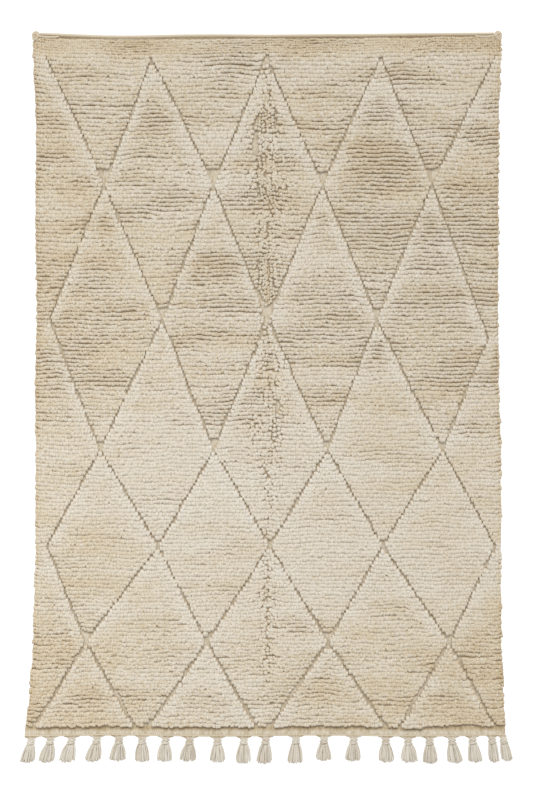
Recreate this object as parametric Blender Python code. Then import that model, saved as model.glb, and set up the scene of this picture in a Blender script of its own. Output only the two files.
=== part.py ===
"""A hand-knotted wool rug with a lozenge lattice, lying flat on the floor.

Metres, +Z up. +Y points to the head end, which has the cord and its two corner knots; the tassels are at -Y.
The origin is the middle of the underside. Every piece is modelled on a true rectangle, and lie() then pulls
all of them to the uneven outline of the real weaving.
"""

import math
from collections import namedtuple

import bmesh
import bpy
from mathutils import Matrix, Vector, noise

# The rug as a whole
LENGTH = 3.000  # from the head cord's outer edge to the foot cord's
WIDTH = 1.990  # across the pile
GROUND = 0.006  # the woven ground, bare on the skirt and in the furrows
PILE = 0.024  # floor to pile top
SKIRT = 0.030  # bare woven band between the pile and the foot cord
GAP = 0.0003  # between two pieces that touch
EDGE_GAP = 0.0008  # between the field and a cord, whose bends don't fall on the same places
HEAD_CORD = 0.012  # diameter
FOOT_CORD = 0.008  # diameter
CORD_STEPS = 40
CORD_ROUNDNESS = 1

# The pile
FURROW = 0.020  # width of the bare line between two lozenges
TIP_FACETS = (-50, 0, 50)  # a lozenge's pile ends towards the foot in a curve of these facets, in degrees
APEX_REACH = 0.030  # the bare line reaches less than this above the lattice's first row
SNAP = 0.0015  # a furrow's side runs through a point of the plan that is this near
PILE_LEAN = 0.010  # the pile's top lies this much nearer the foot than its roots
SHOULDER = 0.0030  # the pile is lower by this where it meets a furrow or a side
LUMP_HEIGHT = 0.0028
LUMP_ACROSS = 0.21
LUMP_ALONG = 0.11
CREASE_DEPTH = 0.0035  # the soft trough left by folding the rug lengthwise
CREASE_WIDTH = 0.045
COLUMNS = 20  # columns of faces across the field
COLUMN = WIDTH / COLUMNS
ROW_STEP = 0.068  # about four rows of knots to a row of faces
LOCK_REACH = 0.008  # how far a lock stands out of the side
LOCK_DROP = 0.004
LOCK_TAPER = 0.62

# The corner knots of the head cord
KNOT_RADIUS = 0.0180
KNOT_FLATNESS = 0.72  # its height for its width
KNOT_HEIGHT = 0.0125  # its middle above the floor
KNOT_INSET = 0.010  # from the rug's side to its middle
KNOT_RIDGE = 0.0011
KNOT_TURNS = 3
KNOT_SEAT = 0.0176  # from a knot's middle to the end of the cord that it ties off
CORNER_CUT = 0.0365  # the field's corner is cut back by this to seat the knot

# A row of the lattice: its distance from the head, where across the rug its crossings lie, how much nearer
# the foot its rightmost one lies, and the radius of the curves that the lozenges above it end in
LatticeRow = namedtuple("LatticeRow", "from_head across right_dip tip_radius")
LATTICE = (
    LatticeRow(0.097, (-0.944, -0.493, -0.004, 0.485, 0.972), 0.0, 0.0),
    LatticeRow(0.637, (-0.700, -0.232, 0.238, 0.708), 0.0, 0.022),
    LatticeRow(1.214, (-0.938, -0.452, 0.002, 0.472, 0.951), 0.083, 0.012),
    LatticeRow(1.769, (-0.718, -0.229, 0.256, 0.747), 0.0, 0.012),
    LatticeRow(2.180, (-0.948, -0.468, 0.012, 0.492, 0.972), 0.0, 0.012),
    LatticeRow(2.590, (-0.772, -0.257, 0.258, 0.773), 0.0, 0.014),
    LatticeRow(2.998, (-0.985, -0.520, -0.016, 0.526, 0.977), 0.0, 0.032),
)
HALF_LOZENGE = 0.36  # two crossings nearer than this across the rug are joined by a furrow

# A lozenge's tip: where its two furrows meet, how far apart they are for each metre, and the middle and the
# radius of the curve that the pile ends in
Tip = namedtuple("Tip", "foot slope centre radius")
TIP_NORMALS = [
    Vector((math.sin(math.radians(turn)), -math.cos(math.radians(turn)), 0)) for turn in TIP_FACETS
]

# The two sides, as distances from the middle line
Side = namedtuple("Side", "from_head left right")
SIDES = (
    Side(0.00, 0.998, 0.996),
    Side(0.20, 0.996, 0.995),
    Side(0.32, 0.987, 0.990),
    Side(0.80, 0.989, 0.987),
    Side(1.20, 0.984, 0.986),
    Side(1.50, 0.991, 0.989),
    Side(1.80, 0.987, 0.998),
    Side(2.15, 0.988, 0.996),
    Side(2.60, 0.999, 1.000),
    Side(2.80, 1.013, 1.008),
    Side(3.00, 1.037, 1.018),
)
HEAD_LIFT = 0.0095  # the head edge runs out higher by this at its two corners
HEAD_SAG = 0.0098  # and dips towards the foot on its left half
HEAD_SAG_AT = -0.64
HEAD_SAG_WIDTH = 0.24
HEAD_SHIFT_FROM = 0.03  # its lift and sag are as large as at the edge down to here
HEAD_SHIFT_FADE = 0.35
FOOT_WAVE = 0.0025
FOOT_WAVE_LENGTH = 0.83
FOOT_WAVE_FADE = 0.20

# A tassel: its place across the rug, how far its tips stray sideways for each metre of its length, its
# length from the foot cord, and the width of its brush
Tassel = namedtuple("Tassel", "across stray reach spread")
TASSELS = (
    Tassel(-0.968, -0.20, 0.110, 0.064),
    Tassel(-0.889, -0.20, 0.110, 0.069),
    Tassel(-0.802, -0.23, 0.111, 0.070),
    Tassel(-0.698, -0.21, 0.110, 0.067),
    Tassel(-0.608, -0.08, 0.108, 0.071),
    Tassel(-0.513, 0.00, 0.111, 0.063),
    Tassel(-0.417, -0.06, 0.109, 0.069),
    Tassel(-0.318, -0.10, 0.106, 0.073),
    Tassel(-0.204, 0.00, 0.109, 0.066),
    Tassel(-0.096, -0.02, 0.114, 0.065),
    Tassel(-0.006, -0.07, 0.117, 0.068),
    Tassel(0.120, -0.04, 0.118, 0.067),
    Tassel(0.237, -0.03, 0.107, 0.068),
    Tassel(0.361, -0.04, 0.107, 0.070),
    Tassel(0.495, 0.03, 0.110, 0.068),
    Tassel(0.588, 0.10, 0.110, 0.074),
    Tassel(0.678, 0.03, 0.115, 0.067),
    Tassel(0.771, 0.17, 0.114, 0.066),
    Tassel(0.857, 0.16, 0.112, 0.061),
    Tassel(0.939, 0.12, 0.113, 0.047),
    Tassel(0.987, 0.19, 0.108, 0.050),
)
STRANDS_ACROSS = 5
STRAND_LAYERS = 2
LAYER_SHIFT = 0.22  # of a strand's pitch, to either side
TIP_ROUNDING = 0.009  # the outer strands end this much higher
TIP_UNEVEN = 0.004

# A cross-section of a tassel's head: distance below the foot cord, width, what share of the brush's width
# that is added to it, thickness
Section = namedtuple("Section", "below width fan thick")
HEAD_SECTIONS = (
    Section(0.040, 0.028, 0.00, 0.0140),  # the strands' roots
    Section(0.034, 0.021, 0.00, 0.0135),  # the waist under the knot
    Section(0.028, 0.030, 0.00, 0.0190),
    Section(0.015, 0.031, 0.00, 0.0200),  # the knot
    Section(0.009, 0.023, 0.06, 0.0130),
    Section(0.004, 0.014, 0.42, 0.0095),  # the warps, gathered in to the knot
    Section(0.000, 0.004, 0.86, 0.0070),  # where they leave the foot cord
)

# A cross-section of a strand: share of the way from root to tip, width as a share of its pitch, and the
# floor and ceiling of the lower and of the upper layer
Belly = namedtuple("Belly", "along width lower_floor lower_top upper_floor upper_top")
STRAND_SECTIONS = (
    Belly(0.45, 0.80, 0.0, 0.0065, 0.0071, 0.0128),
    Belly(1.00, 0.56, 0.0, 0.0048, 0.0056, 0.0096),
)

WOOL = (0.64, 0.56, 0.43, 1.0)
WOOL_CORD = (0.62, 0.53, 0.40, 1.0)
WOOL_TASSEL = (0.66, 0.58, 0.46, 1.0)
WOOL_ROUGHNESS = 0.9


def smooth(share):
    """Eases a share from 0 to 1, and holds it there outside."""
    share = min(1.0, max(0.0, share))
    return share * share * (3 - 2 * share)


def side_at(from_head):
    """The left and right half-widths at this distance from the head."""
    for upper, lower in zip(SIDES, SIDES[1:]):
        if from_head <= lower.from_head:
            break
    share = smooth((from_head - upper.from_head) / (lower.from_head - upper.from_head))
    left = upper.left + (lower.left - upper.left) * share
    right = upper.right + (lower.right - upper.right) * share
    return left, right


def lie(x, y):
    """Where a point of the true rectangle lies in the uneven rug."""
    from_head = LENGTH / 2 - y
    left, right = side_at(from_head)
    half = right if x > 0 else left
    shift = HEAD_LIFT * abs(x) / (WIDTH / 2)
    shift -= HEAD_SAG * math.exp(-(((x - HEAD_SAG_AT) / HEAD_SAG_WIDTH) ** 2))
    shift *= math.exp(-max(0.0, from_head - HEAD_SHIFT_FROM) / HEAD_SHIFT_FADE)
    wave = FOOT_WAVE * math.sin(2 * math.pi * x / FOOT_WAVE_LENGTH)
    wave *= math.exp(-max(0.0, LENGTH - from_head) / FOOT_WAVE_FADE)
    return x * half / (WIDTH / 2), y + shift + wave


def lie_down(bm):
    """Pulls a piece's points to where they lie."""
    for vert in bm.verts:
        vert.co.x, vert.co.y = lie(vert.co.x, vert.co.y)


def wool(name, colour):
    material = bpy.data.materials.new(name)
    material.use_nodes = True
    shader = material.node_tree.nodes["Principled BSDF"]
    shader.inputs["Base Color"].default_value = colour
    shader.inputs["Roughness"].default_value = WOOL_ROUGHNESS
    shader.inputs["Metallic"].default_value = 0.0
    return material


def finish(bm, name, colour):
    """Turns a bmesh into a named object with its own material."""
    bmesh.ops.recalc_face_normals(bm, faces=bm.faces)
    mesh = bpy.data.meshes.new(name)
    bm.to_mesh(mesh)
    bm.free()
    mesh.materials.append(wool(name + "_wool", colour))
    piece = bpy.data.objects.new(name, mesh)
    bpy.context.scene.collection.objects.link(piece)


def crossings(row):
    """The points where this row of the lattice has its crossings, from left to right."""
    points = [Vector((x, LENGTH / 2 - row.from_head, 0)) for x in row.across]
    points[-1].y -= row.right_dip
    return points


def furrows_between(upper, lower):
    """The furrows that run from one row of the lattice to the next, each as its two ends."""
    above, below = crossings(upper), crossings(lower)
    lines = []
    for high in above:
        for low in below:
            if abs(high.x - low.x) < HALF_LOZENGE:
                lines.append((high, low))
    return lines


def off_line(point, high, low):
    """How far a point of the plan is from the line through a furrow's middle."""
    return (point - high).cross((low - high).normalized()).length


def apex_furrows():
    """The pairs of furrows that start from one crossing of the first row."""
    lines = furrows_between(LATTICE[0], LATTICE[1])
    return [
        (first, second)
        for first, second in zip(lines, lines[1:])
        if (first[0] - second[0]).length < GAP
    ]


def in_apex(point):
    """Whether a point of the plan lies above the first row, where two furrows run together."""
    for pair in apex_furrows():
        rise = point.y - pair[0][0].y
        if 0 <= rise < APEX_REACH and all(off_line(point, *line) < FURROW / 2 for line in pair):
            return True
    return False


def lozenge_tips():
    """The tip of each lozenge towards the foot, where two furrows meet."""
    tips = []
    for upper, lower in zip(LATTICE, LATTICE[1:]):
        lines = furrows_between(upper, lower)
        for foot in crossings(lower):
            highs = [high for high, low in lines if (low - foot).length < GAP]
            if len(highs) == 2:
                rise = highs[0].y - foot.y
                slope = (highs[1].x - highs[0].x) / 2 / rise
                reach = (lower.tip_radius + FURROW / 2) * math.hypot(1, slope) / slope
                tips.append(Tip(foot, slope, foot + Vector((0, reach, 0)), lower.tip_radius))
    return tips


def by_tip(tip, point):
    """Whether a point of the plan lies between the two furrows that meet at this tip, and near it."""
    rise = point.y - tip.foot.y
    return abs(point.x - tip.foot.x) < rise * tip.slope and point.y < tip.centre.y


def past_tip(tip, point):
    """Whether a point by the tip lies outside the pile's curve there."""
    return any((point - tip.centre).dot(across) > tip.radius for across in TIP_NORMALS)


def cut(bm, faces, point, normal, snap=1e-6):
    """Splits the faces along a plane."""
    parts = set(faces)
    parts.update(e for f in faces for e in f.edges)
    parts.update(v for f in faces for v in f.verts)
    bmesh.ops.bisect_plane(bm, geom=list(parts), dist=snap, plane_co=point, plane_no=normal)


def extrude(bm, faces, keep=False):
    """Extrudes faces as one region without moving it. Returns the new region's faces and points."""
    edges = {e for f in faces for e in f.edges}
    made = bmesh.ops.extrude_face_region(bm, geom=faces + list(edges), use_keep_orig=keep)["geom"]
    new_faces = [part for part in made if isinstance(part, bmesh.types.BMFace)]
    new_verts = [part for part in made if isinstance(part, bmesh.types.BMVert)]
    return new_faces, new_verts


def faces_in_band(bm, top, bottom):
    return [f for f in bm.faces if bottom < f.calc_center_median().y < top]


def field_plan():
    """The rug's ground as a flat sheet, cut along rows, columns and the sides of the furrows."""
    bm = bmesh.new()
    top = LENGTH / 2 - HEAD_CORD - EDGE_GAP
    bottom = -LENGTH / 2 + FOOT_CORD + EDGE_GAP
    bmesh.ops.create_grid(bm, x_segments=COLUMNS, y_segments=1, size=0.5)
    bmesh.ops.scale(bm, verts=bm.verts, vec=(WIDTH, top - bottom, 1))
    bmesh.ops.translate(bm, verts=bm.verts, vec=(0, (top + bottom) / 2, 0))

    skirt_top = bottom + SKIRT
    levels = {point.y for row in LATTICE[:-1] for point in crossings(row)}
    levels.add(LENGTH / 2 - LATTICE[0].from_head + APEX_REACH)
    levels = [top] + sorted(levels, reverse=True) + [skirt_top]
    for high, low in zip(levels, levels[1:]):
        steps = max(1, round((high - low) / ROW_STEP))
        for step in range(1, steps + 1):
            y = high + (low - high) * step / steps
            cut(bm, bm.faces, (0, y, 0), (0, 1, 0))

    for corner in (-1, 1):
        point = Vector((corner * (WIDTH / 2 - CORNER_CUT), top, 0))
        outward = Vector((corner, 1, 0)).normalized()
        parts = bm.verts[:] + bm.edges[:] + bm.faces[:]
        bmesh.ops.bisect_plane(
            bm, geom=parts, dist=1e-6, plane_co=point, plane_no=outward, clear_outer=True
        )

    for upper, lower in zip(LATTICE, LATTICE[1:]):
        for high, low in furrows_between(upper, lower):
            along = low - high
            across = Vector((-along.y, along.x, 0)).normalized()
            for side in (-1, 1):
                band = faces_in_band(bm, high.y, low.y)
                cut(bm, band, high + across * side * FURROW / 2, across, snap=SNAP)
    for pair in apex_furrows():
        apex = pair[0][0]
        for high, low in pair:
            across = Vector((high.y - low.y, low.x - high.x, 0)).normalized()
            for side in (-1, 1):
                band = faces_in_band(bm, apex.y + APEX_REACH, apex.y)
                near = [f for f in band if min(abs(v.co.x - apex.x) for v in f.verts) < COLUMN / 2]
                cut(bm, near, high + across * side * FURROW / 2, across, snap=SNAP)
    for tip in lozenge_tips():
        for across in TIP_NORMALS:
            near = [f for f in bm.faces if any(by_tip(tip, v.co) for v in f.verts)]
            cut(bm, near, tip.centre + across * tip.radius, across)
    return bm, skirt_top


def is_bare(point):
    """Whether a point lies over a furrow, or over the bare ground where two furrows meet."""
    point = point.xy.to_3d()
    if in_apex(point):
        return True
    if any(by_tip(tip, point) and past_tip(tip, point) for tip in lozenge_tips()):
        return True
    for upper, lower in zip(LATTICE, LATTICE[1:]):
        for high, low in furrows_between(upper, lower):
            if low.y <= point.y <= high.y and off_line(point, high, low) < FURROW / 2:
                return True
    return False


def pile_height(x, y):
    """The pile's height above the floor away from its shoulders, with its lumps and the old crease."""
    lumps = noise.noise(Vector((x / LUMP_ACROSS, y / LUMP_ALONG, 0.5)))
    crease = math.exp(-((x / CREASE_WIDTH) ** 2))
    return PILE + LUMP_HEIGHT * lumps - CREASE_DEPTH * crease


def pile_field():
    """The woven ground with its pile: one solid, bare in the furrows and on the skirt."""
    bm, skirt_top = field_plan()
    ground_faces, ground_verts = extrude(bm, bm.faces[:], keep=True)
    bmesh.ops.translate(bm, verts=ground_verts, vec=(0, 0, GROUND))

    knotted = [
        f
        for f in ground_faces
        if f.calc_center_median().y > skirt_top and not is_bare(f.calc_center_median())
    ]
    pile_faces, pile_verts = extrude(bm, knotted)
    pile_faces = set(pile_faces)
    for vert in pile_verts:
        at_edge = any(face not in pile_faces for face in vert.link_faces)
        vert.co.z = pile_height(vert.co.x, vert.co.y) - at_edge * SHOULDER
        # At the head the pile stands up against the cord.
        vert.co.y -= PILE_LEAN * smooth((LENGTH / 2 - vert.co.y - HEAD_CORD) / ROW_STEP)

    add_locks(bm)
    underside = [f for f in bm.faces if all(v.co.z == 0 for v in f.verts)]
    bmesh.ops.dissolve_faces(bm, faces=underside)
    lie_down(bm)
    finish(bm, "pile_field", WOOL)


def add_locks(bm):
    """Draws each face of the pile's two long sides out into a drooping lock."""
    bm.normal_update()
    for side in (-1, 1):
        walls = [
            f
            for f in bm.faces
            if all(abs(v.co.x - side * WIDTH / 2) < GAP for v in f.verts)
            and max(v.co.z for v in f.verts) > GROUND + GAP
        ]
        for lock in bmesh.ops.extrude_discrete_faces(bm, faces=walls)["faces"]:
            middle = lock.calc_center_median()
            bmesh.ops.scale(
                bm,
                verts=lock.verts,
                vec=(1, LOCK_TAPER, LOCK_TAPER),
                space=Matrix.Translation(-middle),
            )
            vec = (side * LOCK_REACH, 0, -LOCK_DROP)
            bmesh.ops.translate(bm, verts=lock.verts, vec=vec)


def edge_cord(name, y, diameter, half_length):
    """A cord along the head or the foot edge of the rug."""
    points = []
    for step in range(CORD_STEPS + 1):
        points.append(lie(half_length * (2 * step / CORD_STEPS - 1), y))
    curve = bpy.data.curves.new(name, "CURVE")
    curve.dimensions = "3D"
    curve.bevel_depth = diameter / 2
    curve.bevel_resolution = CORD_ROUNDNESS
    curve.use_fill_caps = True
    curve.materials.append(wool(name + "_wool", WOOL_CORD))
    spline = curve.splines.new("POLY")
    spline.points.add(len(points) - 1)
    for bend, (x, y_lying) in zip(spline.points, points):
        bend.co = (x, y_lying, diameter / 2, 1)
    cord = bpy.data.objects.new(name, curve)
    bpy.context.scene.collection.objects.link(cord)


def corner_knot(name, side):
    """The knot that ties off the head cord at one corner: a ball of three turns, flat underneath."""
    bm = bmesh.new()
    bmesh.ops.create_uvsphere(bm, u_segments=14, v_segments=8, radius=KNOT_RADIUS)
    for vert in bm.verts:
        turn = math.atan2(vert.co.y, -side * vert.co.x)
        rise = math.asin(max(-1.0, min(1.0, vert.co.z / KNOT_RADIUS)))
        ridge = math.cos(KNOT_TURNS * turn + 2 * rise) * math.cos(rise)
        vert.co -= vert.co.normalized() * KNOT_RIDGE * (1 - ridge)
        vert.co.z = max(0.0, vert.co.z * KNOT_FLATNESS + KNOT_HEIGHT)
    x = side * (WIDTH / 2 - KNOT_INSET)
    y = LENGTH / 2 - HEAD_CORD - GAP
    bmesh.ops.translate(bm, verts=bm.verts, vec=(x, y, 0))
    lie_down(bm)
    finish(bm, name, WOOL_CORD)


def tassel_head(bm, place):
    """The knotted head, from the strands' roots up to the foot cord. Returns the roots' faces."""
    bmesh.ops.create_grid(bm, x_segments=STRANDS_ACROSS, y_segments=STRAND_LAYERS, size=1)
    roots = bm.faces[:]
    end = bm.faces[:]
    for level in range(1, len(HEAD_SECTIONS)):
        end, moved = extrude(bm, end, keep=level == 1)
        bmesh.ops.translate(bm, verts=moved, vec=(0, 0, 1))
    bmesh.ops.dissolve_faces(bm, faces=end)

    # The bundle is still a square bar, a unit for each section. Each point moves to its section's outline.
    # The warps are gathered in from no further out than the rug's side.
    room = WIDTH / 2 - abs(place.across)
    for vert in bm.verts:
        across, up, level = vert.co
        section = HEAD_SECTIONS[round(level)]
        half = (section.width + section.fan * place.spread) / 2
        if across * place.across > 0:
            half = min(half, max(section.width / 2, room))
        x = across * math.sqrt(1 - up * up / 2) * half
        z = (1 + up * math.sqrt(1 - across * across / 2)) * section.thick / 2
        vert.co = Vector((x, -section.below, z))
    return roots


def draw_strands(bm, roots, tassel):
    """Draws each root's face out into a strand that lies on the floor, clear of the other strands."""
    pitch = tassel.spread / STRANDS_ACROSS
    root_below = HEAD_SECTIONS[0].below
    middle_height = HEAD_SECTIONS[0].thick / 2
    lower = [f for f in roots if f.calc_center_median().z < middle_height]
    upper = [f for f in roots if f not in lower]
    for layer, faces in enumerate((lower, upper)):
        faces = sorted(faces, key=lambda f: f.calc_center_median().x)
        for place, face in enumerate(faces):
            off_middle = place - (STRANDS_ACROSS - 1) / 2 + LAYER_SHIFT * (2 * layer - 1)
            uneven = TIP_UNEVEN * noise.noise(Vector((tassel.across * 40, place * 1.7, layer * 3.1)))
            outer = abs(off_middle) / (STRANDS_ACROSS / 2)
            tip_below = tassel.reach - TIP_ROUNDING * outer**2 + uneven
            for section in STRAND_SECTIONS:
                face = bmesh.ops.extrude_discrete_faces(bm, faces=[face])["faces"][0]
                centre = face.calc_center_median()
                floor, top = section[4:6] if layer else section[2:4]
                for vert in face.verts:
                    right = math.copysign(0.5, vert.co.x - centre.x)
                    is_top = vert.co.z > centre.z
                    # Half of the fan has opened by the first section.
                    fan = 0.88 + 0.12 * section.along
                    x = pitch * (off_middle * fan + right * section.width)
                    y = -(root_below + (tip_below - root_below) * section.along)
                    vert.co = Vector((x, y, top if is_top else floor))


def tassel(name, place):
    """A knotted tassel lying on the floor below the foot cord."""
    bm = bmesh.new()
    roots = tassel_head(bm, place)
    draw_strands(bm, roots, place)
    knot_below = HEAD_SECTIONS[3].below
    for vert in bm.verts:
        vert.co.x += place.stray * max(0.0, -vert.co.y - knot_below) + place.across
    bmesh.ops.translate(bm, verts=bm.verts, vec=(0, -LENGTH / 2 - GAP, 0))
    lie_down(bm)
    finish(bm, name, WOOL_TASSEL)


def main():
    for old in list(bpy.data.objects):
        bpy.data.objects.remove(old)
    pile_field()
    head_half = WIDTH / 2 - KNOT_INSET - KNOT_SEAT
    edge_cord("head_cord", (LENGTH - HEAD_CORD) / 2, HEAD_CORD, head_half)
    edge_cord("foot_cord", (FOOT_CORD - LENGTH) / 2, FOOT_CORD, WIDTH / 2)
    corner_knot("corner_knot_left", -1)
    corner_knot("corner_knot_right", 1)
    for number, place in enumerate(TASSELS, start=1):
        tassel(f"tassel_{number:02d}", place)


main()
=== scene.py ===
"""A hand-knotted wool rug with a lozenge lattice, lying on a pale floor and seen from straight above.

Metres, +Z up, +Y towards the head end. Every piece is made on a true rectangle, and lie() then pulls all of
them to the uneven outline of the real weaving. The tables and lie() say the same as the part's source, so
each piece falls on its solid. The tables give most places as a distance from the head.
"""

import math
from collections import namedtuple

import bmesh
import bpy
import numpy as np
from mathutils import Matrix, Vector, noise


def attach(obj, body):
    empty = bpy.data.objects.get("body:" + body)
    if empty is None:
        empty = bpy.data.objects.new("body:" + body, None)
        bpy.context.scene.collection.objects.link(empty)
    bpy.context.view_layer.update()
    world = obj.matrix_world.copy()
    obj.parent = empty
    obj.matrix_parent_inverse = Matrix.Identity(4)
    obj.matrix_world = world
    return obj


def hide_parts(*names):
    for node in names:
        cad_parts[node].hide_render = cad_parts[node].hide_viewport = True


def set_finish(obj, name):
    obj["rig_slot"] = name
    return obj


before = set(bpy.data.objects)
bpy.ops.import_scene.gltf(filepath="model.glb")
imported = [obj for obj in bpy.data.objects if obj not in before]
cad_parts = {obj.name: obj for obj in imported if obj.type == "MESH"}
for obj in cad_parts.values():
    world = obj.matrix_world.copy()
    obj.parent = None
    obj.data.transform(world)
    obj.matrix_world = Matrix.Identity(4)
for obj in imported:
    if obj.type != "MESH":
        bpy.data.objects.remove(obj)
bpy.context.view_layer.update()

rng = np.random.default_rng(1207)


def table(kind, *rows):
    """Rows of numbers as tuples of one kind, with named values."""
    return [kind(*row) for row in rows]


# -------- sizes shared with the solids
LENGTH = 3.000  # from the head cord's outer edge to the foot cord's
WIDTH = 1.990  # across the pile
GROUND = 0.006  # the woven ground, bare on the skirt and in the furrows
SKIRT = 0.030  # bare woven band between the pile and the foot cord
GAP = 0.0003  # between two pieces that touch
EDGE_GAP = 0.0008  # between the pile's ground and a cord
HEAD_CORD = 0.012  # diameter
FOOT_CORD = 0.008  # diameter
FURROW = 0.020  # width of the bare line between two lozenges
APEX_REACH = 0.030  # the bare line reaches less than this above the lattice's first row
KNOT_HEIGHT = 0.0125  # a corner knot's middle above the floor
KNOT_INSET = 0.010  # from the rug's side to its middle
KNOT_SEAT = 0.0176  # from its middle to the end of the cord that it ties off
CORNER_CUT = 0.0365  # the field's corner is cut back by this to seat the knot

# A row of the lattice: its distance from the head, where across the rug its crossings lie, how much nearer
# the foot its rightmost one lies, and the radius of the curves that the lozenges above it end in
LatticeRow = namedtuple("LatticeRow", "from_head across right_dip tip_radius")
LATTICE = table(
    LatticeRow,
    (0.097, (-0.944, -0.493, -0.004, 0.485, 0.972), 0.0, 0.0),
    (0.637, (-0.700, -0.232, 0.238, 0.708), 0.0, 0.022),
    (1.214, (-0.938, -0.452, 0.002, 0.472, 0.951), 0.083, 0.012),
    (1.769, (-0.718, -0.229, 0.256, 0.747), 0.0, 0.012),
    (2.180, (-0.948, -0.468, 0.012, 0.492, 0.972), 0.0, 0.012),
    (2.590, (-0.772, -0.257, 0.258, 0.773), 0.0, 0.014),
    (2.998, (-0.985, -0.520, -0.016, 0.526, 0.977), 0.0, 0.032),
)
HALF_LOZENGE = 0.36  # two crossings nearer than this across the rug are joined by a furrow

# The two sides, as distances from the middle line
Side = namedtuple("Side", "from_head left right")
SIDES = table(
    Side,
    (0.00, 0.998, 0.996),
    (0.20, 0.996, 0.995),
    (0.32, 0.987, 0.990),
    (0.80, 0.989, 0.987),
    (1.20, 0.984, 0.986),
    (1.50, 0.991, 0.989),
    (1.80, 0.987, 0.998),
    (2.15, 0.988, 0.996),
    (2.60, 0.999, 1.000),
    (2.80, 1.013, 1.008),
    (3.00, 1.037, 1.018),
)
HEAD_LIFT = 0.0095  # the head edge runs out higher by this at its two corners
HEAD_SAG = 0.0098  # and dips towards the foot on its left half
HEAD_SAG_AT = -0.64
HEAD_SAG_WIDTH = 0.24
HEAD_SHIFT_FROM = 0.03  # its lift and sag are as large as at the edge down to here
HEAD_SHIFT_FADE = 0.35
FOOT_WAVE = 0.0025  # how far the foot edge waves up and down
FOOT_WAVE_LENGTH = 0.83
FOOT_WAVE_FADE = 0.20

# A tassel: its place across the rug, how far its tips stray sideways for each metre of its length, its
# length from the foot cord, and the width of its brush
Tassel = namedtuple("Tassel", "across stray reach spread")
TASSELS = table(
    Tassel,
    (-0.968, -0.20, 0.110, 0.064),
    (-0.889, -0.20, 0.110, 0.069),
    (-0.802, -0.23, 0.111, 0.070),
    (-0.698, -0.21, 0.110, 0.067),
    (-0.608, -0.08, 0.108, 0.071),
    (-0.513, 0.00, 0.111, 0.063),
    (-0.417, -0.06, 0.109, 0.069),
    (-0.318, -0.10, 0.106, 0.073),
    (-0.204, 0.00, 0.109, 0.066),
    (-0.096, -0.02, 0.114, 0.065),
    (-0.006, -0.07, 0.117, 0.068),
    (0.120, -0.04, 0.118, 0.067),
    (0.237, -0.03, 0.107, 0.068),
    (0.361, -0.04, 0.107, 0.070),
    (0.495, 0.03, 0.110, 0.068),
    (0.588, 0.10, 0.110, 0.074),
    (0.678, 0.03, 0.115, 0.067),
    (0.771, 0.17, 0.114, 0.066),
    (0.857, 0.16, 0.112, 0.061),
    (0.939, 0.12, 0.113, 0.047),
    (0.987, 0.19, 0.108, 0.050),
)

FIELD_TOP = LENGTH / 2 - HEAD_CORD - EDGE_GAP
FIELD_BOTTOM = -LENGTH / 2 + FOOT_CORD + EDGE_GAP
SKIRT_TOP = FIELD_BOTTOM + SKIRT


# -------- the rows of knots
HEAD_PITCH = 0.0175  # between two rows near the head
FOOT_PITCH = 0.0154
FINE_PITCH = 0.0095  # in the first few rows below the head cord
FINE_UNTIL = 0.050
FINE_FADE = 0.045
FIRST_ROW = 0.0075  # from the field's head edge down to the first row's roots
LAST_ROW = 0.012  # from the skirt up to the last row's roots
KNOT_SPACING = 0.0092  # between two tufts of a row
KNOT_STRAY = 0.0016  # how far a tuft strays along its row
END_STRAY = 0.0022  # and how much further at the row's ends
ROW_APART = 1.7  # two rows' own noises are this far apart
RUN_STEP = 0.001  # how finely a row is searched for the furrows
OVERHANG = 0.006  # how far the roots lie above what the eye takes for a furrow's side
SIDE_INSET = 0.0058  # the outermost roots lie this far in from the rug's side
CORNER_INSET = 0.022
FURROW_MARGIN = ((0.2, -0.0005), (1.5, 0.0000), (2.4, 0.0006), (2.7, 0.0024))


# -------- a tuft of the pile
TUFT_SIDES = 4
TUFT_CORNER = 1.15  # from a tuft's middle to its corners, for its half-sizes
TUFT_ROOT = 0.0065
TUFT_RISE = 0.0120
TUFT_WIDE = 0.0092
TUFT_THICK = 0.0056
OUT_BY_RING = np.array((0.0, 0.46, 1.0))  # how far out along its lean its root, belly and tip lie
WIDE_BY_RING = np.array((0.85, 1.0, 0.80))
THICK_BY_RING = np.array((0.80, 1.0, 0.46))
CLOSED_LEAN = 0.0245  # how far it reaches where its row lies close on the next
OPEN_LEAN = 0.0130  # and where the rows gape
CLOSED_TIP = 0.82  # its tip's height there, for its belly's
OPEN_TIP = 0.56
TIP_LIFT = 0.10  # and how much higher it is on the smooth part of the rug
EDGE_DROOP = 0.55  # and how much lower where the pile ends above a furrow or the skirt
SMOOTH_PART = ((1.6, 0), (1.85, 1), (2.3, 1), (2.5, 0))

RIM_STRAY = (-0.001, 0.005)  # how far the tufts at a side stand further out
FOLD_STRAY = (0.003, 0.006)  # how far the old fold has pushed tufts across and along the rug

# Which way the pile leans, in radians from straight down the rug
PARTED = 0.7  # to both sides of the old fold
CORNER_TURN = 0.9  # outwards, at the head's corners
COMB_TURN = 1.35  # the upright columns along the fold are combed aside
COMB_PITCH = 0.0125  # between two of these columns
COMB_COLUMNS = 3
COMB_FROM = 0.72  # a tuft is combed aside where the fold is stronger than this
COMB_NUMBER = 60.0  # the columns' noises are numbered on from the rows'


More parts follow.
